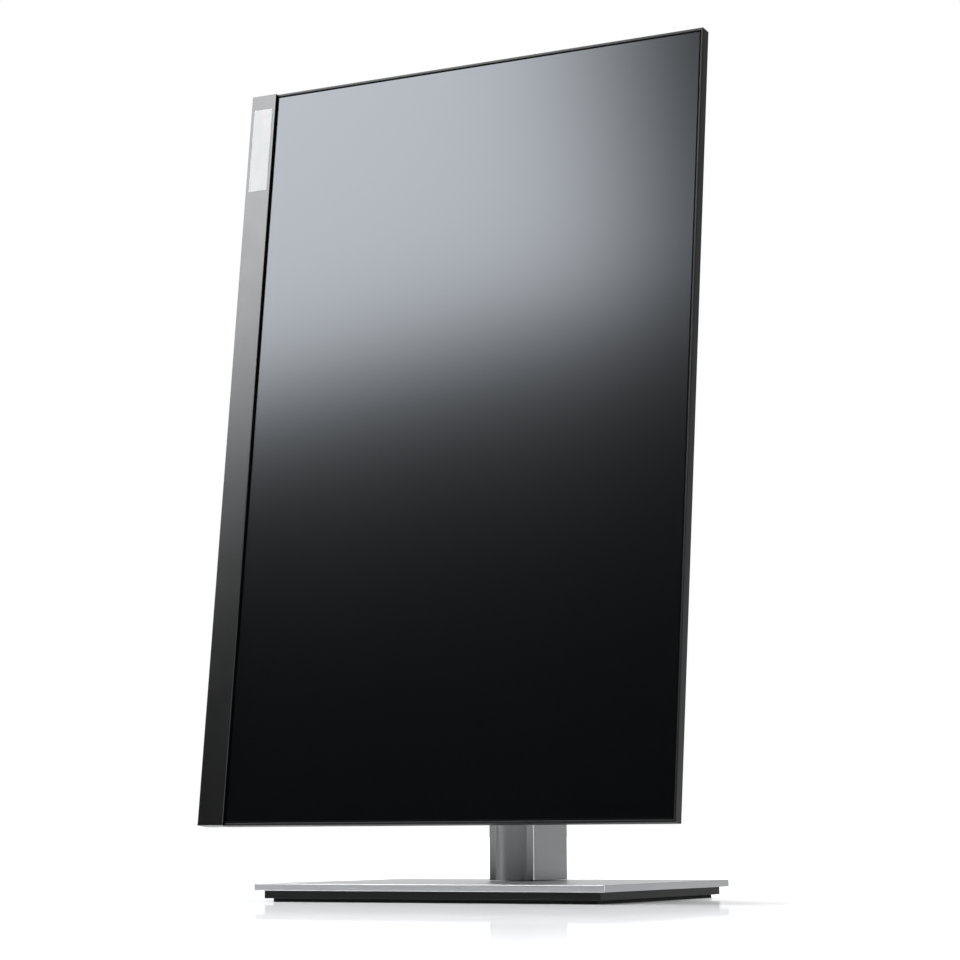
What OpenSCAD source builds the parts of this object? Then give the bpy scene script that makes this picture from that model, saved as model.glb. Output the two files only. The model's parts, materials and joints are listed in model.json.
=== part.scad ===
// Desktop computer monitor: a 24 inch 16:10 display head on a stand that lifts, tilts, swivels
// and pivots. At rest the head is turned to portrait, chin on the left, and leans back a little.
// Millimetres. The origin is on the desk at the centre of the base: X right, Y back, Z up.

/* [Display head, measured in landscape] */
// Width of the head
head_w = 532; // [526:1:538]
// Height of the head
head_h = 358.1; // [354:0.1:362]
// Distance from the pivot axis down to the outer edge of the chin
pivot_drop = 171.5; // [170:0.1:172]
// Height of the chin, the wide bezel below the screen
chin_h = 20.4; // [18:0.1:24]
// How far the chin stands in front of the slim frame
chin_proud = 2; // [1.8:0.1:2.6]
// Depth of the head's side faces behind the front of the slim frame
side_depth = 8.4; // [8.2:0.1:8.8]
// Wall of the plastic mouldings
shell_wall = 1.8; // [1.6:0.1:2]
// Radius of the head's outer corners
corner_r = 0.8; // [0.6:0.1:3]
// Depth of the head over its rear housing
head_depth = 45; // [44:0.5:46]
// Depth from the front of the chin back to the tilt hinge
hinge_depth = 73; // [72:0.5:75]

/* [Pose at rest] */
// How far the head leans back, in degrees
rest_tilt = 6.91; // [4:0.01:8]
// Y of the chin's front face where the pivot axis passes through it
head_front_y = -79; // [-82:0.1:-77]
// Height of the pivot axis at the chin's front face
pivot_z = 315.8; // [314:0.1:322]

/* [Base] */
// Width of the base plate
base_w = 264; // [250:1:280]
// Depth of the base plate
base_d = 199.5; // [190:0.5:200]
// Thickness of the aluminium base plate
plate_t = 4.6; // [4:0.1:6]
// Thickness of the steel weight under the plate
weight_t = 5.3; // [4.2:0.1:6]
// How far the weight is set in from the plate's edge
weight_inset = 4.9; // [4:0.1:8]
// Thickness of the rubber mat
mat_t = 2.4; // [2:0.1:3]
// How far the mat is set in from the plate's edge
mat_inset = 9.2; // [8:0.1:12]
// Radius of the plate's corners
base_r = 0.4; // [0.3:0.1:3]

/* [Column] */
// Width of the column
column_w = 35.3; // [34:0.1:36]
// Depth of the column
column_d = 52.1; // [51.6:0.1:54]
// Y of the column's front face
column_front_y = 24.7; // [24.2:0.1:26]
// Height of the top of the aluminium column
column_top = 400; // [399:1:410]
// Wall of the column
column_wall = 2.2; // [2:0.1:2.4]
// Width of the channel in the column's front
channel_w = 24.3; // [24:0.1:24.6]
// Depth of the channel
channel_d = 6.2; // [5.8:0.1:7]
// Radius of the column's outer corners
column_r = 1; // [0.3:0.1:1.5]

/* [Hidden] */
$fn = 48;

// Clearance between pieces that are fixed together, and between pieces that slide
gap = 0.05;
slide_gap = 0.1;
// How far a cutting shape runs past the face it opens
past = 1;

// Head, in its own landscape frame: X right, Y back from the chin's front, Z up from the pivot axis
half_w = head_w / 2;
head_lo = -pivot_drop;
head_hi = head_h - pivot_drop;
chin_top = head_lo + chin_h;
back_y = chin_proud + side_depth;
cover_y = back_y - 1.2;          // inner face of the rear cover's flat rim
cover_rim_t = 1.7;
cover_wall = 2.2;
slope_y = 18;                    // depth where the sloped rim meets the housing
glass_y = chin_proud + 0.3;
glass_t = 1.4;
glass_in = shell_wall + 0.9;     // glass edge, in from the head's sides
glass_gap = 0.15;                // between the glass and the chin
tray_wall = 0.7;
tray_y = cover_y - 0.3;          // rear face of the panel tray
stack_in = glass_in + 1.3;       // backlight sheets, in from the head's sides
stack_lo = chin_top + 5.6;
house_x = 165;                   // rear housing at its foot: half width, bottom and top
house_lo = -105;
house_hi = 112;
house_draw = 14;                 // how much the housing's sides and top draw in towards the back
house_r = 16;
recess = 62;                     // half side of the square recess for the stand
recess_y = 40;                   // depth of the recess floor
vesa = 50;                       // half the 100 mm spacing of the wall mount holes
vesa_hole_r = 2;
board_y = 20;
board_t = 1.6;
chassis_y = 14;
button_y = 5.6;                  // buttons sit on the chin's underside at this depth
button_w = 9;
button_t = 4;
osd_x = [172, 187, 202, 217];    // places of the four menu buttons along the chin
power_x = 240;
label_x = [11, 73.6];            // ends of the label, from the end of the chin
label_in = 2.5;                  // label's edge, in from the chin's edges

// Ports on the underside of the housing: X centre, opening width, opening depth
port_y = 27.5;
dp = [130, 17.2, 5.8];
hdmi = [103, 15.6, 6.2];
vga = [67, 31.4, 13];
usb_b = [33, 12.6, 11.6];
usb_a = [14.6, 7];
usb_a_x = [10, -12];
inlet = [-120, 28.6, 20.6];
inlet_y = 31;
lock_x = -58;
lock_slot = [7, 3];

// Tilt hinge and pivot
hinge_y = head_front_y + hinge_depth * cos(rest_tilt);
hinge_z = pivot_z - hinge_depth * sin(rest_tilt);
plate_y = recess_y + 0.1;        // front face of the mounting plate
plate_back = plate_y + 3;
boss_back = 46.5;
disc_y = 47;                     // front face of the pivot housing's disc
disc_t = 5;
disc_r = 31;
shaft_r = 5;
barrel_r = 11;
barrel_x = 22;
pin_r = 4;
stop_r = 24;                     // radius of the pivot stop pin's arc

// Stand
plate_z = mat_t + weight_t;
plate_top = plate_z + plate_t;
column_y = column_front_y + column_d / 2;      // swivel axis
column_back = column_front_y + column_d;
column_foot_z = plate_top + 0.4;
half_col = column_w / 2;
inner_x = half_col - column_wall;
inner_y = column_front_y + channel_d;
inner_back = column_back - column_wall;
spindle_r = 6;
swivel_stop_r = 14;
swivel_half = 45;
cover_top = 240;                 // top of the channel cover
grommet = [9, 62, 106];          // cable hole: half width, bottom, top
carriage_x = 12;
carriage_y = [40, 56];
carriage_half = 24;
shutter = [174, 333];
drum_y = 65.3;
drum_z = 380;
drum_r = 6.3;
drum_flange = 7.5;

// ---------- shared shapes ----------

// A box from its lowest to its highest corner
module block(lo, hi) {
    translate(lo) cube(hi - lo);
}

// A rod along Y, or along X
module rod_y(r, y0, y1) {
    translate([0, y0, 0]) rotate([-90, 0, 0]) cylinder(r = r, h = y1 - y0);
}
module rod_x(r, x0, x1) {
    translate([x0, 0, 0]) rotate([0, 90, 0]) cylinder(r = r, h = x1 - x0);
}

// A flat outline with round corners
module rounded_rect(lo, hi, r) {
    translate([lo.x + r, lo.y]) square([hi.x - lo.x - 2 * r, hi.y - lo.y]);
    translate([lo.x, lo.y + r]) square([hi.x - lo.x, hi.y - lo.y - 2 * r]);
    for (x = [lo.x + r, hi.x - r], y = [lo.y + r, hi.y - r])
        translate([x, y]) circle(r);
}

// An outline drawn in X and Z, standing from depth y0 to depth y1
module upright(y0, y1) {
    translate([0, y1, 0]) rotate([90, 0, 0]) linear_extrude(y1 - y0) children();
}

// A slab with the head's outline, set in all round
module head_slab(inset, y0, y1, r) {
    upright(y0, y1)
        rounded_rect([-half_w + inset, head_lo + inset], [half_w - inset, head_hi - inset], r);
}

// A slab of the rear housing, set in by its wall and by its draw towards the back
module house_slab(inset, draw, y0, y1) {
    upright(y0, y1)
        rounded_rect([-house_x + inset + draw, house_lo + inset],
                     [house_x - inset - draw, house_hi - inset - draw], house_r);
}

// Places a shape drawn in the head's landscape frame at its pose at rest
module in_head() {
    in_tilt() rotate([0, 90, 0]) children();
}

// Places a shape drawn in the frame of the tilting parts
module in_tilt() {
    translate([0, head_front_y, pivot_z]) rotate([-rest_tilt, 0, 0]) children();
}

// Four copies, one in each corner of a centred rectangle in X and Z
module corners_xz(x, z) {
    for (sx = [-1, 1], sz = [-1, 1])
        translate([sx * x, 0, sz * z]) children();
}

// ---------- base ----------

base_screw = [105, 74];

module base_slab(inset, z, t, r) {
    translate([0, 0, z]) linear_extrude(t)
        rounded_rect([-base_w / 2 + inset, -base_d / 2 + inset],
                     [base_w / 2 - inset, base_d / 2 - inset], r);
}

// A shape at each of the four base screws
module at_base_screws() {
    for (sx = [-1, 1], sy = [-1, 1])
        translate([sx * base_screw.x, sy * base_screw.y, 0]) children();
}

module base_plate() {
    color("silver") difference() {
        base_slab(0, plate_z, plate_t, base_r);
        translate([0, column_y, plate_z - past])
            cylinder(r = spindle_r + gap, h = plate_t + 2 * past);
        // arc slot in which the swivel stop travels
        translate([0, column_y, plate_z - past]) rotate([0, 0, 90 - swivel_half - 8])
            rotate_extrude(angle = 2 * swivel_half + 16)
                translate([swivel_stop_r - 1.8, 0]) square([3.6, plate_t + 2 * past]);
        at_base_screws() translate([0, 0, plate_z - past]) cylinder(r = 2.02, h = 3.4 + past);
    }
}

module base_weight() {
    color("#202022") difference() {
        base_slab(weight_inset, mat_t, weight_t, base_r + 0.2);
        translate([0, column_y, mat_t - past]) cylinder(r = 19, h = weight_t + 2 * past);
        at_base_screws() {
            translate([0, 0, mat_t - past]) cylinder(r = 2.1, h = weight_t + 2 * past);
            translate([0, 0, mat_t - past]) cylinder(r = 4.2, h = 2 + past);
        }
    }
}

module foot_mat() {
    color("#0b0b0c") base_slab(mat_inset, 0, mat_t, base_r + 0.6);
}

module base_screws() {
    color("dimgray") at_base_screws() {
        translate([0, 0, mat_t + gap]) cylinder(r = 4, h = 1.9);
        translate([0, 0, mat_t + 1]) cylinder(r = 2, h = weight_t + 2);
    }
}

module swivel_disc() {
    color("ivory") translate([0, column_y, plate_top + gap]) difference() {
        cylinder(r = 12, h = 0.5);
        translate([0, 0, -past]) cylinder(r = spindle_r + slide_gap, h = 0.5 + 2 * past);
    }
}

// ---------- column ----------

module cable_hole(r, y0, y1) {
    upright(y0, y1)
        rounded_rect([-r, (grommet[1] + grommet[2]) / 2 - 22 - r + grommet[0]],
                     [r, (grommet[1] + grommet[2]) / 2 + 22 + r - grommet[0]], r - 0.01);
}

module column_extrusion() {
    color("#6a6c70") difference() {
        translate([0, 0, column_foot_z]) linear_extrude(column_top - column_foot_z) difference() {
            rounded_rect([-half_col, column_front_y], [half_col, column_back], column_r);
            translate([-inner_x, inner_y]) square([2 * inner_x, inner_back - inner_y]);
            translate([-channel_w / 2, column_front_y - past]) square([channel_w, channel_d + 2 * past]);
        }
        cable_hole(grommet[0], inner_back - past, column_back + past);
    }
}

module column_cap() {
    color("#202022") {
        translate([0, 0, column_top + gap]) linear_extrude(3)
            rounded_rect([-half_col, column_front_y], [half_col, column_back], column_r);
        block([-inner_x + slide_gap, column_front_y + 14, column_top - 3],
              [inner_x - slide_gap, inner_back - slide_gap, column_top + 1]);
    }
}

// Plastic strip that forms the floor of the channel, with rounded inner corners
module channel_cover() {
    strip_x = channel_w / 2 - gap;
    feather = 0.4;                   // thickness left at the strip's front edges
    fillet = channel_d - feather - 0.3;
    color("#77797d") difference() {
        translate([0, 0, column_foot_z]) linear_extrude(cover_top - column_foot_z) difference() {
            union() {
                translate([-inner_x + slide_gap, inner_y + gap])
                    square([2 * (inner_x - slide_gap), 2.1]);
                translate([-strip_x, inner_y - fillet - feather]) square([2 * strip_x, fillet + 2 * feather]);
            }
            rounded_rect([-strip_x + feather, inner_y - 30], [strip_x - feather, inner_y], fillet);
        }
        cable_hole(grommet[0], inner_y - fillet - past, inner_y + 4);
        cable_hole(grommet[0] + 1.5, inner_y - fillet - past, inner_y);
    }
}

// Lined hole that leads cables from the front of the column out at its back
module cable_grommet() {
    color("#1a1a1c") difference() {
        union() {
            cable_hole(grommet[0] - gap, inner_y - 1, column_back + 1);
            cable_hole(grommet[0] + 1.4, inner_y - 1.2, inner_y - gap);
            cable_hole(grommet[0] + 1.6, column_back + gap, column_back + 1.2);
        }
        cable_hole(grommet[0] - 1.5, inner_y - 3, column_back + 3);
    }
}

// Casting inside the foot of the column; its pin is the swivel stop
module column_foot() {
    foot_z = plate_top + 0.6;
    color("gray") {
        difference() {
            block([-inner_x + slide_gap, inner_y + 2.4, foot_z],
                  [inner_x - slide_gap, inner_back - slide_gap, foot_z + 32]);
            translate([0, column_y, foot_z - past]) cylinder(r = spindle_r + 0.02, h = 34);
            translate([0, column_y, foot_z + 22]) cylinder(r = 9.1, h = 12);
            block([-9, inner_back - 6, foot_z + 20], [9, inner_back + past, foot_z + 40]);
        }
        translate([0, column_y + swivel_stop_r, plate_z - 1]) cylinder(r = 1.5, h = 8);
    }
}

module spindle() {
    color("silver") translate([0, column_y, 0]) {
        translate([0, 0, mat_t + 0.3]) cylinder(r = spindle_r, h = plate_top + 24 - mat_t);
        translate([0, 0, plate_top + 22.7]) cylinder(r = 9, h = 3);
    }
}

module swivel_nut() {
    color("dimgray") translate([0, column_y, 0]) difference() {
        union() {
            translate([0, 0, plate_z - 4.1]) cylinder(r = 11, h = 2.6, $fn = 6);
            translate([0, 0, plate_z - 1.55]) cylinder(r = 11, h = 1.45);
        }
        cylinder(r = spindle_r + 0.02, h = 20);
    }
}

// ---------- height adjustment ----------

// Bracket with a riveted axle that carries the spring drum
module spring_bracket() {
    cheek = 9.4;
    color("darkgray") {
        block([-cheek - 1, 73.4, drum_z - 10], [cheek + 1, inner_back - gap, drum_z + 10]);
        for (s = [-1, 1])
            block([s > 0 ? cheek : -cheek - 1, drum_y - 4, drum_z - 6],
                  [s > 0 ? cheek + 1 : -cheek, 74, drum_z + 6]);
        translate([0, drum_y, drum_z]) rod_x(2, -cheek - 0.5, cheek + 0.5);
    }
}

module spring_drum() {
    color("ivory") translate([0, drum_y, drum_z]) difference() {
        union() {
            rod_x(drum_r - 0.4, -8.9, 8.9);
            rod_x(drum_flange, -8.9, -8.3);
            rod_x(drum_flange, 8.3, 8.9);
        }
        rod_x(2.05, -10, 10);
    }
}

// Straight run of the constant force strip, from the carriage up to the drum
module lift_spring() {
    color("silver") block([-8, drum_y - drum_r, hinge_z - 6], [8, drum_y - drum_r + 0.35, drum_z]);
}

module carriage() {
    color("gray") translate([0, 0, hinge_z]) difference() {
        union() {
            block([-carriage_x, carriage_y[0], -carriage_half], [carriage_x, carriage_y[1], carriage_half]);
            // lip that the spring strip hooks over
            block([-8, carriage_y[1] - 1, -12], [8, drum_y - drum_r + 1.4, -6.1]);
        }
        for (z = [-8, 8]) translate([0, 0, z]) {
            rod_y(2.55, carriage_y[0] - past, carriage_y[1]);
            rod_y(4.6, carriage_y[1] - 4, carriage_y[1] + 6);
        }
    }
}

module slide_pads() {
    color("ivory") translate([0, 0, hinge_z])
        for (sx = [-1, 1], sz = [-1, 1])
            block([sx > 0 ? carriage_x + gap : -inner_x + slide_gap, 42, sz * 18 - 5],
                  [sx > 0 ? inner_x - slide_gap : -carriage_x - gap, 54, sz * 18 + 5]);
}

// Thin strip that closes the slot above and below the neck and travels with it
module channel_shutter() {
    color("#1a1a1c") difference() {
        block([-inner_x + 0.3, carriage_y[0] - 1.1, shutter[0]],
              [inner_x - 0.3, carriage_y[0] - 0.1, shutter[1]]);
        block([-9.4, 30, hinge_z - 12.5], [9.4, 50, hinge_z + 12.5]);
    }
}

module hinge_yoke() {
    lug = [23.5, 31];
    color("dimgray") translate([0, hinge_y, hinge_z]) difference() {
        union() {
            for (s = [-1, 1]) {
                rod_x(12, s > 0 ? lug[0] : -lug[1], s > 0 ? lug[1] : -lug[0]);
                block([s > 0 ? lug[0] : -lug[1], 0, -12], [s > 0 ? lug[1] : -lug[0], 27, 12]);
            }
            block([-lug[1], 20, -12], [lug[1], 27, 12]);
            block([-9, 20, -12], [9, carriage_y[0] - gap - hinge_y, 12]);
        }
        rod_x(pin_r + 0.02, -40, 40);
        for (z = [-8, 8]) translate([0, 30, z]) rod_y(2.52, 0, 20);
    }
}

module yoke_screws() {
    color("silver") for (z = [-8, 8]) translate([0, 0, hinge_z + z]) {
        rod_y(2.5, hinge_y + 31, carriage_y[1] - 3.9);
        rod_y(4.5, carriage_y[1] - 3.95, carriage_y[1] - 0.4);
    }
}

module hinge_pin() {
    color("silver") translate([0, hinge_y, hinge_z]) {
        rod_x(pin_r, -31.5, 33);
        rod_x(6.5, -34, -31.05);
        translate([31.05, 0, 0]) rotate([0, 90, 0]) cylinder(r = 7.4, h = 4, $fn = 6);
    }
}

module tilt_washers() {
    color("goldenrod") translate([0, hinge_y, hinge_z])
        for (s = [-1, 1]) difference() {
            rod_x(9, s > 0 ? 22.1 : -23.4, s > 0 ? 23.4 : -22.1);
            rod_x(pin_r + gap, -30, 30);
        }
}

// ---------- tilting parts ----------

module pivot_housing() {
    color("dimgray") in_tilt() difference() {
        union() {
            rod_y(disc_r, disc_y, disc_y + disc_t);
            for (s = [-1, 1])
                block([s > 0 ? 14 : -20, disc_y + disc_t - 1, -9], [s > 0 ? 20 : -14, hinge_depth, 9]);
            translate([0, hinge_depth, 0]) rod_x(barrel_r, -barrel_x, barrel_x);
        }
        rod_y(shaft_r + gap, disc_y - past, disc_y + disc_t + past);
        translate([0, hinge_depth, 0]) rod_x(pin_r + gap, -barrel_x - past, barrel_x + past);
        // quarter turn slot for the pivot stop pin
        rotate([-90, 0, 0]) rotate([0, 0, -100]) rotate_extrude(angle = 110)
            translate([stop_r - 2.3, disc_y - past]) square([4.6, disc_t + 2 * past]);
    }
}

module hinge_cover() {
    color("#202022") in_tilt() difference() {
        rod_y(disc_r + 3, boss_back - 0.3, disc_y + 11);
        rod_y(disc_r + 0.6, boss_back - past, disc_y + 9.2);
        block([-23, disc_y + 8, -10.5], [23, disc_y + 14, 10.5]);
    }
}

// ---------- stand mount on the head ----------

// Plate with cut-away corners that leave the wall mount holes free, and two hooks on its top edge
module mounting_plate() {
    color("gray") in_head() difference() {
        union() {
            block([-58, plate_y, -38], [58, plate_back, 38]);
            block([-38, plate_y, -60], [38, plate_back, 60]);
            for (x = [-28, 28])
                block([x - 9.6, plate_y + 0.8, 59], [x + 9.6, plate_back - 0.3, recess + 2]);
            rod_y(20, plate_back - 1, boss_back);
        }
        rod_y(shaft_r + 0.02, plate_y - past, boss_back + past);
        translate([0, 0, stop_r]) rod_y(2.02, plate_y - past, plate_back + past);
    }
}

module pivot_shaft() {
    color("silver") in_head() {
        rod_y(9.5, recess_y - 2, plate_y - gap);
        rod_y(shaft_r, recess_y - 1, 61.4);
    }
}

module pivot_stop_pin() {
    color("silver") in_head() translate([0, 0, stop_r]) rod_y(2, plate_y + 0.2, disc_y + disc_t - 0.5);
}

// Lock nut with the spring washers that clamp the pivot
module pivot_nut() {
    color("goldenrod") in_head() difference() {
        union() {
            translate([0, 56.2, 0]) rotate([-90, 0, 0]) cylinder(r = 9.4, h = 4.6, $fn = 6);
            for (k = [0:3])
                rod_y(k % 2 == 0 ? 8.6 : 7.6, disc_y + disc_t + 0.1 + k, disc_y + disc_t + 1.1 + k);
        }
        rod_y(shaft_r + 0.02, 40, 70);
    }
}

// Sprung latch below the recess: its tongue holds the mounting plate, and it slides down to let go
module release_latch() {
    color("#202022") in_head() {
        block([-12.7, recess_y, -82.2], [12.7, head_depth + 0.4, -70.3]);
        block([-15, recess_y, -82.2], [15, head_depth - cover_wall - 0.3, -70.3]);
        for (z = [-80, -77.5, -75])
            block([-10, head_depth, z], [10, head_depth + 0.9, z + 1.2]);
        block([-8, plate_back + 0.1, -71], [8, head_depth - 0.3, -57]);
    }
}

// ---------- display head ----------

module chin_bar() {
    color("#1c1c1e") in_head() difference() {
        intersection() {
            head_slab(0, 0, back_y, corner_r);
            block([-head_w, -past, head_lo - past], [head_w, back_y + past, chin_top]);
        }
        block([-half_w + shell_wall, shell_wall, head_lo + shell_wall],
              [half_w - shell_wall, back_y + past, chin_top - shell_wall]);
        block([-half_w + shell_wall, cover_y - 0.4, head_lo + shell_wall],
              [half_w - shell_wall, back_y + past, chin_top + past]);
        for (x = concat(osd_x, [power_x])) translate([x, button_y, head_lo])
            block([-button_w / 2 - 0.2, -button_t / 2 - 0.2, -past],
                  [button_w / 2 + 0.2, button_t / 2 + 0.2, shell_wall + past]);
    }
}

// Slim three-sided frame round the screen
module front_frame() {
    color("#3a3a3d") in_head() difference() {
        head_slab(0, chin_proud, back_y, corner_r);
        block([-half_w + shell_wall, 0, head_lo - past], [half_w - shell_wall, 20, head_hi - shell_wall]);
        block([-head_w, 0, head_lo - past], [head_w, 20, chin_top + gap]);
    }
}

// A rectangle in the screen's plane, set in from the frame and up from the chin
module screen_slab(side_in, chin_gap, y0, y1) {
    block([-half_w + side_in, y0, chin_top + chin_gap], [half_w - side_in, y1, head_hi - side_in]);
}

// Seal along the three slim sides of the screen
module screen_gasket() {
    color("#060607") in_head() difference() {
        screen_slab(shell_wall + gap, 2 * gap, glass_y - 0.2, glass_y + glass_t);
        screen_slab(glass_in - gap, -past, glass_y - past, glass_y + glass_t + past);
    }
}

module lcd_glass() {
    color("#0c0e12") in_head()
        screen_slab(glass_in, glass_gap, glass_y, glass_y + glass_t);
}

module panel_tray() {
    color("silver") in_head() difference() {
        screen_slab(glass_in, 1.2, glass_y + glass_t + gap, tray_y);
        screen_slab(glass_in + tray_wall, 1.2 + tray_wall, 0, tray_y - tray_wall);
    }
}

// One sheet of the backlight
module backlight_sheet(y0, y1) {
    block([-half_w + stack_in, y0, stack_lo], [half_w - stack_in, y1, head_hi - stack_in]);
}

module diffuser_stack() {
    color("white") in_head() backlight_sheet(glass_y + 1.6, glass_y + 2.2);
}

module light_guide() {
    color("aliceblue") in_head() backlight_sheet(glass_y + 2.3, glass_y + 5.2);
}

module reflector_sheet() {
    color("white") in_head() backlight_sheet(glass_y + 5.3, glass_y + 5.5);
}

module led_strip() {
    color("khaki") in_head() {
        block([-half_w + stack_in, glass_y + 2.3, chin_top + 2.2],
              [half_w - stack_in, glass_y + 5.2, chin_top + 3]);
        for (k = [-24:24])
            block([k * 10.5 - 2, glass_y + 2.8, chin_top + 3], [k * 10.5 + 2, glass_y + 4.7, chin_top + 4.2]);
    }
}

module port_cut(x, w, d, y) {
    block([x - w / 2, y - d / 2, house_lo - past], [x + w / 2, y + d / 2, house_lo + cover_wall + past]);
}

module rear_cover() {
    inner_rim = 14.5;
    color("#242426") in_head() difference() {
        union() {
            difference() {
                union() {
                    head_slab(shell_wall + 0.2, cover_y, cover_y + cover_rim_t, 0.6);
                    hull() {
                        head_slab(12, cover_y + 1, cover_y + cover_rim_t, 8, $fn = 32);
                        head_slab(30, slope_y - 0.1, slope_y, 12, $fn = 32);
                    }
                    hull() {
                        house_slab(0, 0, cover_y + 1, cover_y + 1.1, $fn = 32);
                        house_slab(0, house_draw, head_depth - 0.1, head_depth, $fn = 32);
                    }
                }
                hull() {
                    head_slab(inner_rim, cover_y - 0.1, cover_y, 8, $fn = 32);
                    head_slab(32.4, slope_y - cover_wall, slope_y - cover_wall + 0.1, 12, $fn = 32);
                }
                hull() {
                    house_slab(cover_wall, 0, cover_y - 0.1, cover_y, $fn = 32);
                    house_slab(cover_wall, house_draw, head_depth - cover_wall - 0.1,
                               head_depth - cover_wall, $fn = 32);
                }
            }
            // walls and floor of the recess for the stand
            block([-recess - cover_wall, recess_y - cover_wall, -recess - cover_wall],
                  [recess + cover_wall, head_depth - 0.5, recess + cover_wall]);
        }
        block([-recess, recess_y, -recess], [recess, head_depth + past, recess]);
        corners_xz(vesa, vesa) rod_y(4, recess_y - 5, recess_y + past);
        rod_y(11, recess_y - 5, recess_y + past);
        for (x = [-28, 28])
            block([x - 10, plate_y + 0.5, recess - past], [x + 10, plate_back, recess + cover_wall + past]);
        // window and tongue channel of the release latch
        block([-13, head_depth - 4, -86.2], [13, head_depth + past, -70]);
        block([-8.3, plate_back - 0.1, -70.1], [8.3, head_depth + past, -recess + 0.1]);
        // air slots through the sloped top of the housing
        for (x = [-126:9:126])
            block([x - 1.6, 24, 78], [x + 1.6, 38, 120]);
        for (p = [dp, hdmi, vga, usb_b]) port_cut(p[0], p[1], p[2], port_y);
        for (x = usb_a_x) port_cut(x, usb_a[0], usb_a[1], port_y);
        port_cut(inlet[0], inlet[1], inlet[2], inlet_y);
        port_cut(lock_x, lock_slot[0], lock_slot[1], inlet_y);
    }
}

chassis = [158.5, -98, 84];        // half width, bottom and top of the chassis plate

module chassis_plate() {
    color("silver") in_head() difference() {
        union() {
            block([-chassis[0], chassis_y, chassis[1]], [chassis[0], chassis_y + 1, chassis[2]]);
            for (s = [-1, 1])
                block([s > 0 ? chassis[0] - 1 : -chassis[0], chassis_y, chassis[1] + 20],
                      [s > 0 ? chassis[0] : -chassis[0] + 1, chassis_y + 3.5, chassis[2]]);
            for (x = [-138, 138], z = [-88, 76])
                translate([x, 0, z]) rod_y(4, tray_y + gap, chassis_y + 0.5);
            // bosses that hold the boards
            for (p = board_holes) translate([p[0], 0, p[1]]) rod_y(3, chassis_y + 0.5, board_y - gap);
        }
        for (x = [-110, 110]) translate([x, 0, 30]) rod_y(18, chassis_y - past, chassis_y + 2);
        block([-20, chassis_y - past, 10], [20, chassis_y + 2, 50]);
        for (p = board_holes) translate([p[0], 0, p[1]]) rod_y(1.55, chassis_y + 2, board_y + past);
    }
}

main_area = [-36, -99, 148, -68];     // lowest X and Z, highest X and Z
power_area = [-156, -84, -74, 40];
board_holes = [[-31, -72], [56, -72], [143, -72], [-152, -78], [-80, -78], [-152, 34], [-80, 34]];

module board_screws() {
    color("silver") in_head() for (p = board_holes) translate([p[0], 0, p[1]]) {
        rod_y(1.5, chassis_y + 3, board_y + board_t + gap);
        rod_y(2.8, board_y + board_t + gap, board_y + board_t + 1.8);
    }
}

// Bare board with its screw holes
module board(area, holes) {
    difference() {
        block([area[0], board_y, area[1]], [area[2], board_y + board_t, area[3]]);
        for (p = holes) translate([p[0], 0, p[1]]) rod_y(1.6, board_y - past, board_y + board_t + past);
    }
}

// A part soldered to a board: place, size, height
module chip(x, z, w, d, h) {
    block([x - w / 2, board_y + board_t - 0.1, z - d / 2], [x + w / 2, board_y + board_t + h, z + d / 2]);
}

module main_board() {
    color("darkgreen") in_head() {
        board(main_area, [for (k = [0:2]) board_holes[k]]);
        chip(95, -76, 14, 12, 2);
        chip(40, -78, 16, 12, 3);
        chip(70, -76, 9, 7, 1.2);
        chip(0, -76, 12, 8, 1.4);
        chip(120, -74, 20, 5, 3.4);
    }
}

module power_board() {
    color("tan") in_head() {
        board(power_area, [for (k = [3:6]) board_holes[k]]);
        chip(-116, 8, 32, 28, 16);
        chip(-142, -20, 10, 34, 14);
        chip(-92, -48, 22, 26, 12);
        for (p = [[-120, -30], [-98, -18]])
            translate([p[0], 0, p[1]]) rod_y(8, board_y + board_t - 0.1, board_y + 18);
    }
}

// Steel bracket behind the recess, with four pressed M4 inserts
module vesa_bracket() {
    top_y = recess_y - cover_wall - 0.4;
    leg = 64;
    color("silver") in_head() difference() {
        union() {
            block([-leg, top_y - 1.2, -60], [leg, top_y, 60]);
            for (s = [-1, 1]) {
                block([s > 0 ? leg - 1.2 : -leg, chassis_y + 1.05, -50],
                      [s > 0 ? leg : -leg + 1.2, top_y, 50]);
                block([s > 0 ? leg - 1.2 : -leg - 7, chassis_y + 1.05, -50],
                      [s > 0 ? leg + 7 : -leg + 1.2, chassis_y + 2.25, 50]);
            }
            corners_xz(vesa, vesa) rod_y(3.9, top_y - 7, recess_y);
        }
        corners_xz(vesa, vesa) rod_y(vesa_hole_r, top_y - 6, recess_y + past);
        rod_y(14, top_y - 3, top_y + past);
    }
}

// Metal shell of a socket with its opening downwards: centre, outer size, wall, depth of the opening
module socket_shell(x, y, w, d, wall, deep) {
    difference() {
        block([x - w / 2, y - d / 2, house_lo - 0.2], [x + w / 2, y + d / 2, house_lo + deep + 3]);
        block([x - w / 2 + wall, y - d / 2 + wall, house_lo - past],
              [x + w / 2 - wall, y + d / 2 - wall, house_lo + deep]);
    }
}

// Contact tongue inside a socket
module tongue(x, y, w, d, from, to) {
    block([x - w / 2, y - d / 2, house_lo + from], [x + w / 2, y + d / 2, house_lo + to]);
}

module displayport_port() {
    color("silver") in_head() {
        socket_shell(dp[0], port_y, 16.8, 5.4, 0.4, 8);
        tongue(dp[0], port_y + 0.4, 12.6, 1, 1, 8.1);
    }
}

module hdmi_port() {
    color("silver") in_head() {
        socket_shell(hdmi[0], port_y, 15.2, 5.8, 0.4, 8);
        tongue(hdmi[0], port_y, 11.6, 1, 1, 8.1);
    }
}

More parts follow.
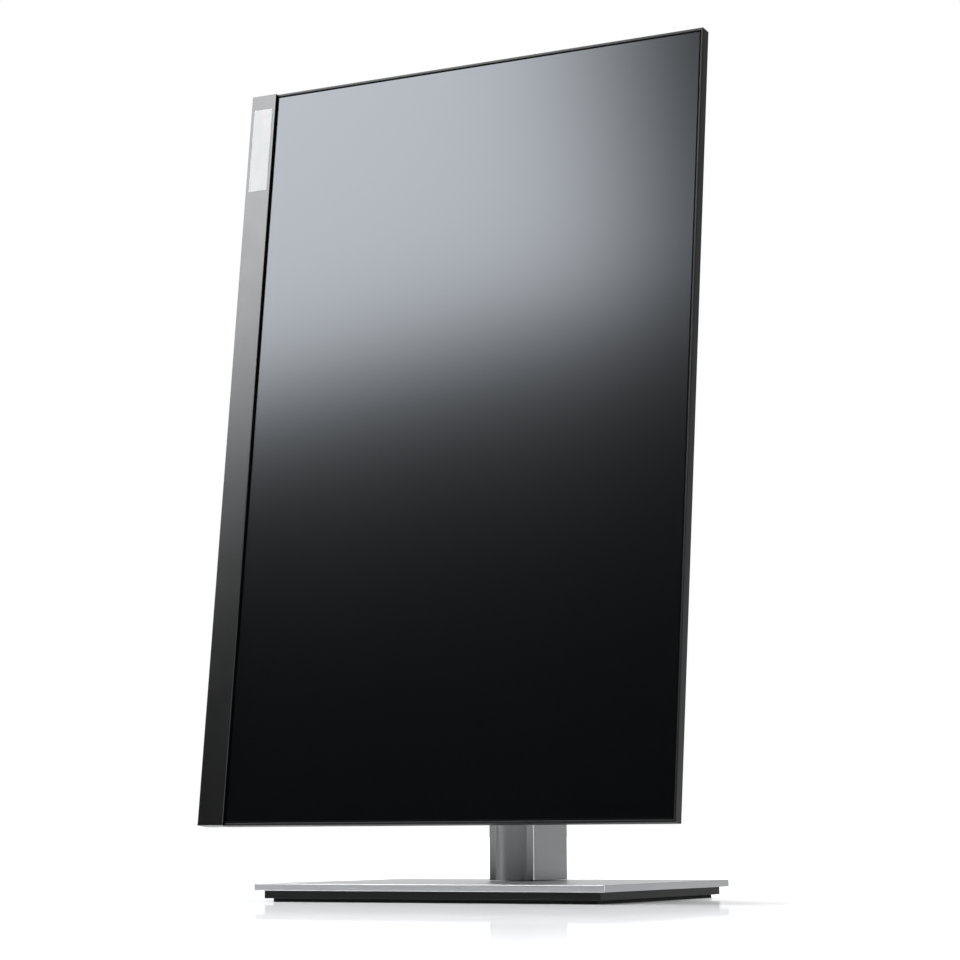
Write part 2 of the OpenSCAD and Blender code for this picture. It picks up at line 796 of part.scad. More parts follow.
// Fifteen-way analogue socket: flange, shell and two jack screws
module vga_port() {
    flange = [30.8, 12.4];
    color("royalblue") in_head() difference() {
        union() {
            block([vga[0] - flange.x / 2, port_y - flange.y / 2, house_lo + 0.2],
                  [vga[0] + flange.x / 2, port_y + flange.y / 2, house_lo + 6]);
            block([vga[0] - 8.6, port_y - 4.4, house_lo - 0.2], [vga[0] + 8.6, port_y + 4.4, house_lo + 4]);
            for (s = [-1, 1]) translate([vga[0] + s * 12.5, port_y, house_lo - 0.2])
                cylinder(r = 2.6, h = 3, $fn = 6);
        }
        block([vga[0] - 8.1, port_y - 3.9, house_lo - past], [vga[0] + 8.1, port_y + 3.9, house_lo + 5]);
        for (s = [-1, 1]) translate([vga[0] + s * 12.5, port_y, house_lo - past]) cylinder(r = 1.4, h = 5);
    }
}

module usb_b_port() {
    color("silver") in_head() {
        socket_shell(usb_b[0], port_y, 12.2, 11.2, 0.5, 9);
        tongue(usb_b[0], port_y, 5.6, 3.2, 1.2, 9.1);
    }
}

module usb_a_ports() {
    color("silver") in_head() for (x = usb_a_x) {
        socket_shell(x, port_y, usb_a[0] - 0.4, usb_a[1] - 0.4, 0.4, 9);
        tongue(x, port_y + 1, 11, 2, 1, 9.1);
    }
}

// Three-pin mains inlet
module power_inlet() {
    color("#101012") in_head() {
        socket_shell(inlet[0], inlet_y, 28.2, 20.2, 1.9, 15);
        for (p = [[-7, -1.5], [0, 2], [7, -1.5]])
            tongue(inlet[0] + p[0], inlet_y + p[1], 2, 4, 4, 15.1);
    }
}

module lock_plate() {
    color("silver") in_head() difference() {
        block([lock_x - 10, inlet_y - 8, house_lo + cover_wall + gap],
              [lock_x + 10, inlet_y + 8, house_lo + cover_wall + 1.2]);
        block([lock_x - lock_slot[0] / 2, inlet_y - lock_slot[1] / 2, house_lo],
              [lock_x + lock_slot[0] / 2, inlet_y + lock_slot[1] / 2, house_lo + 6]);
    }
}

switch_z = head_lo + 5.6;

// Board behind the buttons, with one push switch over each
module button_board() {
    color("darkgreen") in_head() {
        block([160, shell_wall + 0.6, switch_z + 2.4], [252, tray_y - 0.3, switch_z + 3.6]);
        for (x = concat(osd_x, [power_x]))
            block([x - 3, button_y - 2.5, switch_z], [x + 3, button_y + 2.5, switch_z + 2.5]);
    }
}

module button_cable() {
    color("white") in_head() {
        block([196, tray_y + gap, switch_z + 3], [206, tray_y + 0.2, -120]);
        block([148, tray_y + gap, -130], [206, tray_y + 0.2, -120]);
        block([148, tray_y + gap, -130], [158, tray_y + 0.2, -96]);
    }
}

module panel_cable() {
    color("white") in_head() {
        block([4, tray_y + gap, 16], [18, chassis_y + 1.3, 16.3]);
        block([4, chassis_y + 1.1, -66], [18, chassis_y + 1.35, 16.3]);
        block([4, chassis_y + 1.1, -66.3], [18, board_y + 2.4, -66]);
    }
}

module blank_label() {
    color("whitesmoke") in_head()
        block([-half_w + label_x[0], -0.12, head_lo + label_in],
              [-half_w + label_x[1], 0, chin_top - label_in]);
}

// Button cap that stands a little out of the chin, with a retaining flange and a stem inside
module push_button(x) {
    in_head() translate([x, button_y, head_lo]) {
        block([-button_w / 2, -button_t / 2, -0.6], [button_w / 2, button_t / 2, 2.1]);
        block([-button_w / 2 - 0.8, -button_t / 2 - 0.6, 1.9], [button_w / 2 + 0.8, button_t / 2 + 0.6, 2.7]);
        block([-1.5, -1.5, 2.5], [1.5, 1.5, 4.6]);
    }
}

module osd_button_1() { color("#2c2c2f") push_button(osd_x[0]); }
module osd_button_2() { color("#2c2c2f") push_button(osd_x[1]); }
module osd_button_3() { color("#2c2c2f") push_button(osd_x[2]); }
module osd_button_4() { color("#2c2c2f") push_button(osd_x[3]); }
module power_button() { color("#3c3c40") push_button(power_x); }

base_plate();
base_weight();
foot_mat();
base_screws();
swivel_disc();
column_extrusion();
column_cap();
channel_cover();
cable_grommet();
column_foot();
spindle();
swivel_nut();
spring_bracket();
spring_drum();
lift_spring();
carriage();
slide_pads();
channel_shutter();
hinge_yoke();
yoke_screws();
hinge_pin();
tilt_washers();
pivot_housing();
hinge_cover();
mounting_plate();
pivot_shaft();
pivot_stop_pin();
pivot_nut();
release_latch();
chin_bar();
front_frame();
screen_gasket();
lcd_glass();
diffuser_stack();
light_guide();
led_strip();
reflector_sheet();
panel_tray();
rear_cover();
chassis_plate();
board_screws();
vesa_bracket();
main_board();
power_board();
displayport_port();
hdmi_port();
vga_port();
usb_b_port();
usb_a_ports();
power_inlet();
lock_plate();
button_board();
button_cable();
panel_cable();
blank_label();
osd_button_1();
osd_button_2();
osd_button_3();
osd_button_4();
power_button();
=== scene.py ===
"""Studio view of a computer monitor: materials, small surface pieces, light and camera.

Everything is in metres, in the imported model's own frame: origin on the desk at the centre of the
base, X right, Y back, Z up. The head stands in portrait and leans back a little.
"""

import json
import math

import bmesh
import bpy
from mathutils import Matrix, Vector


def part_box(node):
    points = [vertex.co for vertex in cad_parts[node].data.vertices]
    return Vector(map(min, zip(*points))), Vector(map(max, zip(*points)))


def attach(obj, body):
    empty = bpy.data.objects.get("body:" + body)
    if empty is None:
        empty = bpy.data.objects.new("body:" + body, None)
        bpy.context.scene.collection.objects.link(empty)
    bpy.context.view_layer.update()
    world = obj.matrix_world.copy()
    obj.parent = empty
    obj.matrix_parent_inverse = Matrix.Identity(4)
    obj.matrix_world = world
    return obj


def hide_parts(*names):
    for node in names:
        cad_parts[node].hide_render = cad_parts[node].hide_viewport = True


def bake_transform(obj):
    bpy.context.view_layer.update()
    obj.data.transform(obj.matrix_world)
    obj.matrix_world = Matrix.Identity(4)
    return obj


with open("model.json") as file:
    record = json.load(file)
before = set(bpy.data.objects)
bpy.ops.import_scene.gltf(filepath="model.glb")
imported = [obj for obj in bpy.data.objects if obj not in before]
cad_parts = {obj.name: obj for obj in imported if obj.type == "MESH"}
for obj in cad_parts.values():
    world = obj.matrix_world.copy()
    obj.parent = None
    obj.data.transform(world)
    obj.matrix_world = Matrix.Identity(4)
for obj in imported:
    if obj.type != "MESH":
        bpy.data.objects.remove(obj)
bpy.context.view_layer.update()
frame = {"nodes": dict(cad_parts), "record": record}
nodes = frame["nodes"]
scene = bpy.context.scene

MM = 0.001


# ---------- the camera ----------

CAMERA_PLACE = (0.887, -1.6574, 0.045)
CAMERA_TURN = (28.419, 7.472, -0.318)    # degrees: to the left of straight back, up, and roll
CAMERA_LENS = 101.195                    # mm, on a 36 mm wide sensor


def add_camera():
    """A low view from in front and to the right, looking slightly up."""
    az, el, ro = (math.radians(a) for a in CAMERA_TURN)
    forward = Vector((-math.sin(az) * math.cos(el), math.cos(az) * math.cos(el), math.sin(el)))
    level = Vector((math.cos(az), math.sin(az), 0))
    upright = level.cross(forward)
    right = level * math.cos(ro) + upright * math.sin(ro)
    up = upright * math.cos(ro) - level * math.sin(ro)
    data = bpy.data.cameras.new("camera")
    data.sensor_width = 36
    data.lens = CAMERA_LENS
    data.clip_end = 50
    camera = bpy.data.objects.new("camera", data)
    scene.collection.objects.link(camera)
    turn = Matrix((right, up, -forward)).transposed().to_4x4()
    camera.matrix_world = Matrix.Translation(CAMERA_PLACE) @ turn
    scene.camera = camera


# ---------- material building ----------

class Shader:
    """A Principled material with a few procedural layers."""

    def __init__(self, name, colour, rough, metal=0.0, **inputs):
        self.mat = bpy.data.materials.new(name)
        self.mat.use_nodes = True
        self.tree = self.mat.node_tree
        self.bsdf = self.tree.nodes["Principled BSDF"]
        self.colour = colour
        self.rough = rough
        self.set("Base Color", (*colour, 1))
        self.set("Roughness", rough)
        self.set("Metallic", metal)
        for key, value in inputs.items():
            self.set(key.replace("_", " "), value)
        self.place = self.add("ShaderNodeTexCoord").outputs["Object"]
        self.normal = None

    def set(self, socket, value):
        self.bsdf.inputs[socket].default_value = value

    def add(self, kind, **settings):
        node = self.tree.nodes.new(kind)
        for key, value in settings.items():
            setattr(node, key, value)
        return node

    def link(self, a, b):
        self.tree.links.new(a, b)

    def stretched(self, scale):
        """Object coordinates scaled by axis, for grain that runs one way."""
        mapping = self.add("ShaderNodeMapping")
        mapping.inputs["Scale"].default_value = scale
        self.link(self.place, mapping.inputs["Vector"])
        return mapping.outputs["Vector"]

    def noise(self, scale, detail, stretch=None):
        node = self.add("ShaderNodeTexNoise")
        node.inputs["Scale"].default_value = scale
        node.inputs["Detail"].default_value = detail
        self.link(self.stretched(stretch) if stretch else self.place, node.inputs["Vector"])
        return node.outputs["Fac"]

    def cells(self, scale, feature="F1"):
        node = self.add("ShaderNodeTexVoronoi", feature=feature)
        node.inputs["Scale"].default_value = scale
        self.link(self.place, node.inputs["Vector"])
        return node.outputs["Distance"]

    def spread(self, value, low, high, from_low, from_high):
        """The value, moved in proportion from one range to another."""
        node = self.add("ShaderNodeMapRange")
        for key, number in (("From Min", from_low), ("From Max", from_high),
                            ("To Min", low), ("To Max", high)):
            node.inputs[key].default_value = number
        self.link(value, node.inputs["Value"])
        return node.outputs["Result"]

    def bump(self, value, strength, distance):
        """Adds a relief, distance metres deep at full strength, over any there already."""
        node = self.add("ShaderNodeBump")
        node.inputs["Strength"].default_value = strength
        node.inputs["Distance"].default_value = distance
        self.link(value, node.inputs["Height"])
        if self.normal:
            self.link(self.normal, node.inputs["Normal"])
        self.normal = node.outputs["Normal"]
        self.link(self.normal, self.bsdf.inputs["Normal"])
        return self

    def vary_rough(self, value, low, high, from_low=0.3, from_high=0.7):
        """The roughness moves between low and high."""
        self.link(self.spread(value, low, high, from_low, from_high), self.bsdf.inputs["Roughness"])
        return self

    def vary_colour(self, value, darker, lighter, from_low=0.3, from_high=0.7):
        """The base colour moves between two shades of itself."""
        ramp = self.add("ShaderNodeMix", data_type="RGBA")
        ramp.inputs["A"].default_value = (*[c * darker for c in self.colour], 1)
        ramp.inputs["B"].default_value = (*[min(1, c * lighter) for c in self.colour], 1)
        self.link(self.spread(value, 0, 1, from_low, from_high), ramp.inputs["Factor"])
        self.link(ramp.outputs["Result"], self.bsdf.inputs["Base Color"])
        return self

    def mix_colour(self, value, other, from_low, from_high):
        """The base colour gives way to the other one as the value nears from_high."""
        ramp = self.add("ShaderNodeMix", data_type="RGBA")
        ramp.inputs["A"].default_value = (*self.colour, 1)
        ramp.inputs["B"].default_value = (*other, 1)
        self.link(self.spread(value, 0, 1, from_low, from_high), ramp.inputs["Factor"])
        self.link(ramp.outputs["Result"], self.bsdf.inputs["Base Color"])
        return self


def satin_aluminium():
    """Bead-blasted, clear-anodised sheet of the base plate."""
    s = Shader("satin_aluminium", (0.57, 0.575, 0.585), 0.30, 1.0)
    s.vary_rough(s.noise(7, 2), 0.28, 0.32, 0.0, 1.0)
    s.vary_colour(s.noise(1400, 3), 0.96, 1.04)
    return s.bump(s.noise(5200, 2), 0.03, 0.00002).mat


def column_aluminium():
    """Extruded section with a fine grain along its length."""
    s = Shader("column_aluminium", (0.345, 0.35, 0.355), 0.36, 1.0)
    s.vary_rough(s.noise(1, 3, stretch=(700, 700, 5)), 0.33, 0.39, 0.0, 1.0)
    s.vary_colour(s.noise(1, 4, stretch=(2600, 2600, 14)), 0.97, 1.03)
    return s.bump(s.noise(1, 3, stretch=(3600, 3600, 30)), 0.02, 0.00002).mat


def channel_paint():
    """Silver paint on the plastic strip that lines the column's channel."""
    s = Shader("channel_paint", (0.38, 0.385, 0.39), 0.6, 0.3)
    s.vary_colour(s.noise(2200, 3), 0.95, 1.05)
    return s.bump(s.noise(3400, 2), 0.04, 0.00002).mat


def moulded_plastic(name, colour, rough, grain=2300, depth=0.25, **inputs):
    """Injection-moulded plastic with a spark-eroded grain."""
    s = Shader(name, colour, rough, **inputs)
    s.vary_rough(s.noise(45, 3), rough - 0.03, rough + 0.03, 0.0, 1.0)
    s.vary_colour(s.noise(320, 3), 0.88, 1.12)
    s.bump(s.cells(grain, "SMOOTH_F1"), depth, 0.00006)
    return s.bump(s.noise(grain * 1.9, 2), depth * 0.6, 0.00003).mat


def screen_glass():
    """Matte anti-glare polariser over a dark panel."""
    s = Shader("screen_glass", (0.0006, 0.0006, 0.0007), 0.156, IOR=1.55,
               Specular_Tint=(0.89, 0.935, 1.0, 1))
    s.vary_rough(s.noise(9, 2), 0.152, 0.160, 0.0, 1.0)
    return s.bump(s.noise(9000, 2), 0.008, 0.00001).mat


def painted_steel():
    """Powder-coated steel, with the orange-peel of the coat."""
    s = Shader("painted_steel", (0.005, 0.005, 0.0055), 0.42, Specular_IOR_Level=0.3)
    s.vary_colour(s.noise(600, 2), 0.8, 1.2)
    s.bump(s.noise(900, 2), 0.25, 0.00008)
    return s.bump(s.noise(3500, 2), 0.12, 0.00003).mat


def rubber():
    """Black rubber of the foot mat and the cable grommet."""
    s = Shader("rubber", (0.006, 0.006, 0.0065), 0.75, Specular_IOR_Level=0.3)
    s.vary_rough(s.noise(80, 3), 0.68, 0.82)
    s.vary_colour(s.noise(900, 3), 0.8, 1.5)
    return s.bump(s.noise(2400, 4), 0.4, 0.00008).mat


def seal():
    """Dead matt foam strip round the screen."""
    s = Shader("seal", (0.001, 0.001, 0.001), 0.9, Specular_IOR_Level=0.05)
    s.vary_colour(s.noise(900, 3), 0.6, 1.6)
    return s.bump(s.cells(3000), 0.3, 0.00004).mat


def zinc_steel():
    """Zinc-plated pressed steel, slightly blotched."""
    s = Shader("zinc_steel", (0.60, 0.61, 0.62), 0.33, 1.0)
    s.vary_rough(s.noise(240, 4), 0.26, 0.42)
    s.vary_colour(s.cells(300), 0.9, 1.06, 0.1, 0.9)
    return s.bump(s.noise(1500, 3), 0.08, 0.00003).mat


def spring_steel():
    """Rolled strip, its fine lines along its length."""
    s = Shader("spring_steel", (0.44, 0.46, 0.50), 0.2, 1.0)
    s.vary_rough(s.noise(1, 3, stretch=(2400, 2400, 20)), 0.14, 0.28)
    return s.bump(s.noise(1, 3, stretch=(4200, 4200, 40)), 0.1, 0.00002).mat


def brass():
    """Slightly tarnished brass of contacts and inserts."""
    s = Shader("brass", (0.62, 0.43, 0.16), 0.3, 1.0)
    s.vary_rough(s.noise(500, 3), 0.22, 0.4)
    s.vary_colour(s.noise(160, 3), 0.8, 1.08)
    return s.bump(s.noise(1800, 2), 0.08, 0.00003).mat


def cast_alloy():
    """Die-cast zinc with a tumbled skin, painted grey."""
    s = Shader("cast_alloy", (0.16, 0.165, 0.17), 0.45, 0.55)
    s.vary_rough(s.noise(160, 4), 0.38, 0.54)
    s.vary_colour(s.noise(420, 4), 0.82, 1.15)
    return s.bump(s.noise(1300, 3), 0.25, 0.00006).mat


def nylon():
    """Natural nylon, a little translucent."""
    s = Shader("nylon", (0.70, 0.68, 0.60), 0.45)
    s.set("Subsurface Weight", 0.15)
    s.set("Subsurface Radius", (0.002, 0.0018, 0.0014))
    s.vary_colour(s.noise(260, 3), 0.94, 1.04)
    return s.bump(s.noise(1600, 3), 0.12, 0.00004).mat


def white_film():
    """White plastic film of the reflector and the flat cables."""
    s = Shader("white_film", (0.82, 0.83, 0.85), 0.4)
    s.vary_colour(s.noise(30, 2), 0.98, 1.02)
    return s.bump(s.noise(2600, 2), 0.08, 0.00002).mat


def acrylic():
    """Light guide with its printed dots."""
    s = Shader("acrylic", (0.78, 0.83, 0.88), 0.12)
    s.mix_colour(s.cells(700), (0.93, 0.94, 0.95), 0.25, 0.2)
    return s.bump(s.cells(700), 0.1, 0.00002).mat


def circuit_board(name, colour):
    """Solder resist over copper tracks."""
    s = Shader(name, colour, 0.32, Coat_Weight=0.3, Coat_Roughness=0.15)
    tracks = s.cells(420, "DISTANCE_TO_EDGE")
    s.mix_colour(tracks, tuple(min(1, c * 2.1 + 0.01) for c in colour), 0.06, 0.04)
    return s.bump(tracks, 0.15, 0.00004).mat


def paper_label():
    """Blank printed label: white film with a faint grey wash."""
    s = Shader("paper_label", (0.43, 0.433, 0.438), 0.5)
    s.vary_colour(s.noise(90, 4), 0.93, 1.03)
    return s.bump(s.noise(1900, 3), 0.12, 0.00003).mat


def build_materials():
    """One material for each of the record's material slots, and the channel's own paint."""
    black = (0.010, 0.0102, 0.011)
    return {
        "satin_aluminium": satin_aluminium(),
        "column_aluminium": column_aluminium(),
        "channel_paint": channel_paint(),
        "black_plastic": moulded_plastic("black_plastic", black, 0.44),
        "bezel_plastic": moulded_plastic("bezel_plastic", (0.0025, 0.0025, 0.0027), 0.235,
                                         2800, 0.05, IOR=1.55),
        "frame_plastic": moulded_plastic("frame_plastic", (0.003, 0.003, 0.0033), 0.34,
                                         2800, 0.05, IOR=1.37),
        "seal": seal(),
        "dark_steel": painted_steel(),
        "zinc_steel": zinc_steel(),
        "spring_steel": spring_steel(),
        "brass": brass(),
        "cast_alloy": cast_alloy(),
        "rubber": rubber(),
        "screen_glass": screen_glass(),
        "white_sheet": white_film(),
        "light_guide": acrylic(),
        "circuit_board": circuit_board("circuit_board", (0.012, 0.085, 0.03)),
        "power_board": circuit_board("power_board", (0.20, 0.11, 0.035)),
        "blue_plastic": moulded_plastic("blue_plastic", (0.012, 0.04, 0.30), 0.4),
        "nylon": nylon(),
        "ribbon": white_film(),
        "label": paper_label(),
        "button_plastic": moulded_plastic("button_plastic", (0.02, 0.02, 0.022), 0.3, 3200, 0.12),
    }


materials = build_materials()
slot_of = {row["node"]: row["material_slot"] for row in frame["record"]["subparts"]}
slot_of["channel_cover"] = "channel_paint"

# Edge radius of each carried-over node, in millimetres
EDGE_MM = {
    "base_plate": 0.3, "base_weight": 0.4, "foot_mat": 0.4, "column_extrusion": 0.3,
    "column_cap": 0.6, "channel_cover": 0.12, "cable_grommet": 0.35, "hinge_yoke": 1.2,
    "pivot_housing": 0.8, "hinge_cover": 1.2, "mounting_plate": 0.5, "release_latch": 0.4,
    "chin_bar": 0.3, "front_frame": 0.35, "screen_gasket": 0.1, "lcd_glass": 0.15,
    "rear_cover": 0.6, "blank_label": 0.03, "lift_spring": 0.05, "channel_shutter": 0.2,
    "reflector_sheet": 0.05, "button_cable": 0.03, "panel_cable": 0.03, "led_strip": 0.1,
}
OTHER_EDGE_MM = 0.25    # the rest are pressed or moulded
WELD_MM = 0.002

# Nodes whose corner arcs have short edges, which would limit the edge radius for no reason
ROUND_CORNERED = ("base_plate", "base_weight", "foot_mat", "column_extrusion", "chin_bar",
                  "front_frame")

# Least angle between two faces, in degrees, that is an edge. The rear cover's sloped rim meets its
# flats at shallow angles that need one.
EDGE_ANGLE = 35
SHALLOW_EDGE_ANGLE = 13


def dress_cad_nodes():
    """Gives every carried-over node its material, rounded edges and smooth shading."""
    for name, obj in nodes.items():
        obj.data.materials.clear()
        obj.data.materials.append(materials[slot_of[name]])
        for polygon in obj.data.polygons:
            polygon.material_index = 0
            polygon.use_smooth = True
        weld = obj.modifiers.new("weld", "WELD")
        weld.merge_threshold = WELD_MM * MM
        bevel = obj.modifiers.new("edges", "BEVEL")
        bevel.width = EDGE_MM.get(name, OTHER_EDGE_MM) * MM
        bevel.segments = 3
        bevel.limit_method = "ANGLE"
        bevel.angle_limit = math.radians(SHALLOW_EDGE_ANGLE if name == "rear_cover" else EDGE_ANGLE)
        bevel.use_clamp_overlap = name not in ROUND_CORNERED
        normals = obj.modifiers.new("normals", "WEIGHTED_NORMAL")
        normals.mode = "FACE_AREA"
        normals.weight = 100


# ---------- small surface pieces ----------

joint_of = {row["name"]: row for row in frame["record"]["behaviour"]["joints"]}
mount_of = {row["name"]: row for row in frame["record"]["mounts"]}


def head_turn():
    """Turns the head's landscape axes (X right, Y back, Z up) to its portrait pose at rest."""
    back = Vector(joint_of["pivot"]["axis"])
    up = Vector((1, 0, 0))
    return Matrix((back.cross(up), back, up)).transposed().to_4x4()


def chamfered_bar(mesh, centre, size, chamfer):
    """Adds a bar to the mesh, the four edges round its top end cut back; all in millimetres."""
    x, y, z = (side / 2 for side in size)
    rings = [(x, y, -z), (x, y, z - chamfer), (x - chamfer, y - chamfer, z)]
    loops = []
    for half_x, half_y, level in rings:
        corners = ((-half_x, -half_y), (half_x, -half_y), (half_x, half_y), (-half_x, half_y))
        loops.append([mesh.verts.new((Vector((a, b, level)) + Vector(centre)) * MM)
                      for a, b in corners])
    mesh.faces.new(reversed(loops[0]))
    mesh.faces.new(loops[-1])
    for low, high in zip(loops, loops[1:]):
        for k in range(4):
            mesh.faces.new((low[k - 1], low[k], high[k], high[k - 1]))


def sleeve(mesh, centre, outer, inner, height, sides=16):
    """Adds a round contact sleeve with a bore, standing along Z; all in millimetres."""
    loops = []
    for radius, level in ((inner, 0), (outer, 0), (outer, height), (inner, height)):
        ring = []
        for k in range(sides):
            turn = 2 * math.pi * k / sides
            point = Vector((radius * math.cos(turn), radius * math.sin(turn), level))
            ring.append(mesh.verts.new((point + Vector(centre)) * MM))
        loops.append(ring)
    for low, high in zip(loops, loops[1:] + loops[:1]):
        for k in range(sides):
            mesh.faces.new((low[k - 1], low[k], high[k], high[k - 1]))


def mesh_piece(name, slot, fill):
    """A new piece in a material of the record, its mesh made by fill."""
    mesh = bmesh.new()
    fill(mesh)
    bmesh.ops.recalc_face_normals(mesh, faces=mesh.faces)
    data = bpy.data.meshes.new(name)
    mesh.to_mesh(data)
    mesh.free()
    data.materials.append(materials[slot])
    piece = bpy.data.objects.new(name, data)
    scene.collection.objects.link(piece)
    return piece


def socket_piece(name, mount, fill):
    """A brass piece in a socket: Z runs up into it from its mouth, X along it, Y towards the back."""
    piece = mesh_piece(name, "brass", fill)
    piece.matrix_world = Matrix.Translation(Vector(mount_of[mount]["pos_m"])) @ head_turn()
    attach(piece, "head")


# Millimetres
CONTACT_T = 0.12
CONTACT_SUNK = 0.02     # how far a contact is set into its tongue
CONTACT_START = 1.6     # from the socket's mouth to the contacts' tips
STRIP_CHAMFER = 0.1


def contact_row(count, pitch, y, width, length):
    """A row of spring contacts, each lying on a tongue and running into the socket."""
    def fill(mesh):
        for k in range(count):
            x = (k - (count - 1) / 2) * pitch
            chamfered_bar(mesh, (x, y, CONTACT_START + length / 2), (width, CONTACT_T, length),
                          CONTACT_T / 4)
    return fill


def add_contacts():
    """Contacts on the tongues of the digital sockets, and the fifteen sleeves of the analogue one.

    Each row has the piece, its mount, then in millimetres: number, pitch, place across the tongue's
    face, width and length.
    """
    proud = CONTACT_T / 2 - CONTACT_SUNK
    for name, mount, count, pitch, y, width, length in (
            ("displayport_contacts", "displayport", 10, 1.0, 0.9 + proud, 0.5, 4.5),
            ("hdmi_contacts", "hdmi", 10, 1.0, 0.5 + proud, 0.5, 4.5),
            ("usb_b_contacts", "usb_b", 2, 2.5, 1.6 + proud, 1.1, 5.5),
            ("usb_a_1_contacts", "usb_a_1", 4, 2.3, -proud, 1.1, 6.0),
            ("usb_a_2_contacts", "usb_a_2", 4, 2.3, -proud, 1.1, 6.0)):
        socket_piece(name, mount, contact_row(count, pitch, y, width, length))

    def sleeves(mesh):
        pitch, stagger, row_pitch, depth = 2.29, 0.57, 1.98, 4.2
        for row in range(3):
            for k in range(5):
                x = (k - 2) * pitch + (stagger if row == 1 else -stagger)
                sleeve(mesh, (x, (row - 1) * row_pitch, depth), 0.75, 0.45, 0.95)
    socket_piece("vga_contacts", "vga", sleeves)


def add_spring_strip():
    """The strip that the height spring lets out, between its drum and the lift."""
    low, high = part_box("lift_spring")
    centre, size = (low + high) / 2, high - low
    strip = mesh_piece("lift_spring_strip", "spring_steel",
                       lambda mesh: chamfered_bar(mesh, centre / MM, size / MM, STRIP_CHAMFER))
    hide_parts("lift_spring")
    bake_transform(strip)


# ---------- studio ----------

def fresh_tree(name):
    """A material with an empty node tree."""
    mat = bpy.data.materials.new(name)
    mat.use_nodes = True
    mat.node_tree.nodes.clear()
    return mat, mat.node_tree


def mapped(tree, value, from_low, from_high, low, high):
    """The value, eased from one range to another."""
    node = tree.nodes.new("ShaderNodeMapRange")
    node.interpolation_type = "SMOOTHSTEP"
    for key, number in (("From Min", from_low), ("From Max", from_high),
                        ("To Min", low), ("To Max", high)):
        node.inputs[key].default_value = number
    tree.links.new(value, node.inputs["Value"])
    return node.outputs["Result"]


def math_node(tree, operation, first, second=None, kind="ShaderNodeMath"):
    """One step of arithmetic; the second term is a socket, number or vector."""
    node = tree.nodes.new(kind)
    node.operation = operation
    tree.links.new(first, node.inputs[0])
    if hasattr(second, "is_linked"):
        tree.links.new(second, node.inputs[1])
    elif second is not None:
        node.inputs[1].default_value = second
    return node.outputs["Value"]


def mixed(tree, factor, first, second, kind="ShaderNodeMixShader", sockets=(0, 1, 2)):
    """The first gives way to the second as the factor goes from 0 to 1."""
    node = tree.nodes.new(kind)
    for value, socket in zip((factor, first, second), sockets):
        tree.links.new(value, node.inputs[socket])
    return node.outputs[0]


def is_seen(tree):
    """1 where the camera looks, 0 for reflected and scattered light."""
    return tree.nodes.new("ShaderNodeLightPath").outputs["Is Camera Ray"]


def close_tree(tree, shader, kind="ShaderNodeOutputMaterial"):
    tree.links.new(shader, tree.nodes.new(kind).inputs["Surface"])


def direction(azimuth, elevation):
    """A unit vector; azimuth runs from straight in front (0) towards the left (90)."""
    az, el = math.radians(azimuth), math.radians(elevation)
    return Vector((-math.sin(az) * math.cos(el), -math.cos(az) * math.cos(el), math.sin(el)))


def along(tree, place, azimuth):
    """How far the place lies in a level direction."""
    return math_node(tree, "DOT_PRODUCT", place, direction(azimuth, 0), kind="ShaderNodeVectorMath")


def add_stage_sheet(name, width, height, mat):
    """A flat sheet of the studio, centred on its own origin; it isn't part of the object."""
    mesh = bpy.data.meshes.new(name)
    corners = [(-width / 2, -height / 2, 0), (width / 2, -height / 2, 0),
               (width / 2, height / 2, 0), (-width / 2, height / 2, 0)]
    mesh.from_pydata(corners, [], [(0, 1, 2, 3)])
    mesh.materials.append(mat)
    sheet = bpy.data.objects.new(name, mesh)
    scene.collection.objects.link(sheet)
    return sheet


FLOOR_SIDE = 60


def add_floor():
    """White acrylic: matt, with a faint mirror image of the object that fades out round it.

    It glows far from the object, so that it runs into the white background. To the eye it also glows
    at the back on the right: painted light over the head's shadow on the floor there. The light that
    the glow casts on the object leaves out the part at the back on the right.
    """
    mat, tree = fresh_tree("floor")
    place = tree.nodes.new("ShaderNodeTexCoord").outputs["Object"]
    reach = math_node(tree, "LENGTH", place, kind="ShaderNodeVectorMath")
    back_right = along(tree, place, -140)
    matt = tree.nodes.new("ShaderNodeBsdfDiffuse")
    matt.inputs["Color"].default_value = (0.9, 0.9, 0.9, 1)
    mirror = tree.nodes.new("ShaderNodeBsdfGlossy")
    mirror.inputs["Roughness"].default_value = 0.04
    share = math_node(tree, "MINIMUM", mapped(tree, reach, 0.3, 1.2, 0.46, 0.0), 0.42)
    top = mixed(tree, share, matt.outputs[0], mirror.outputs[0])

    cast = math_node(tree, "MULTIPLY", mapped(tree, reach, 0.6, 2.5, 0.15, 1.0),
                     mapped(tree, back_right, 0.1, 0.4, 1.0, 0.0))
    # To the eye: the glow far out, and at the back on the right painted light that fills the head's
    # shadow on the floor
    seen_glow_and_painted_fill = math_node(tree, "MAXIMUM", mapped(tree, reach, 0.6, 2.5, 0.0, 1.0),
                      mapped(tree, back_right, 0.06, 0.22, 0.0, 0.6))
    glow = tree.nodes.new("ShaderNodeEmission")
    strength = mixed(tree, is_seen(tree), cast, seen_glow_and_painted_fill, "ShaderNodeMix", ("Factor", "A", "B"))
    tree.links.new(strength, glow.inputs["Strength"])
    both = tree.nodes.new("ShaderNodeAddShader")
    tree.links.new(top, both.inputs[0])
    tree.links.new(glow.outputs[0], both.inputs[1])
    close_tree(tree, both.outputs[0])
    add_stage_sheet("floor", FLOOR_SIDE, FLOOR_SIDE, mat)


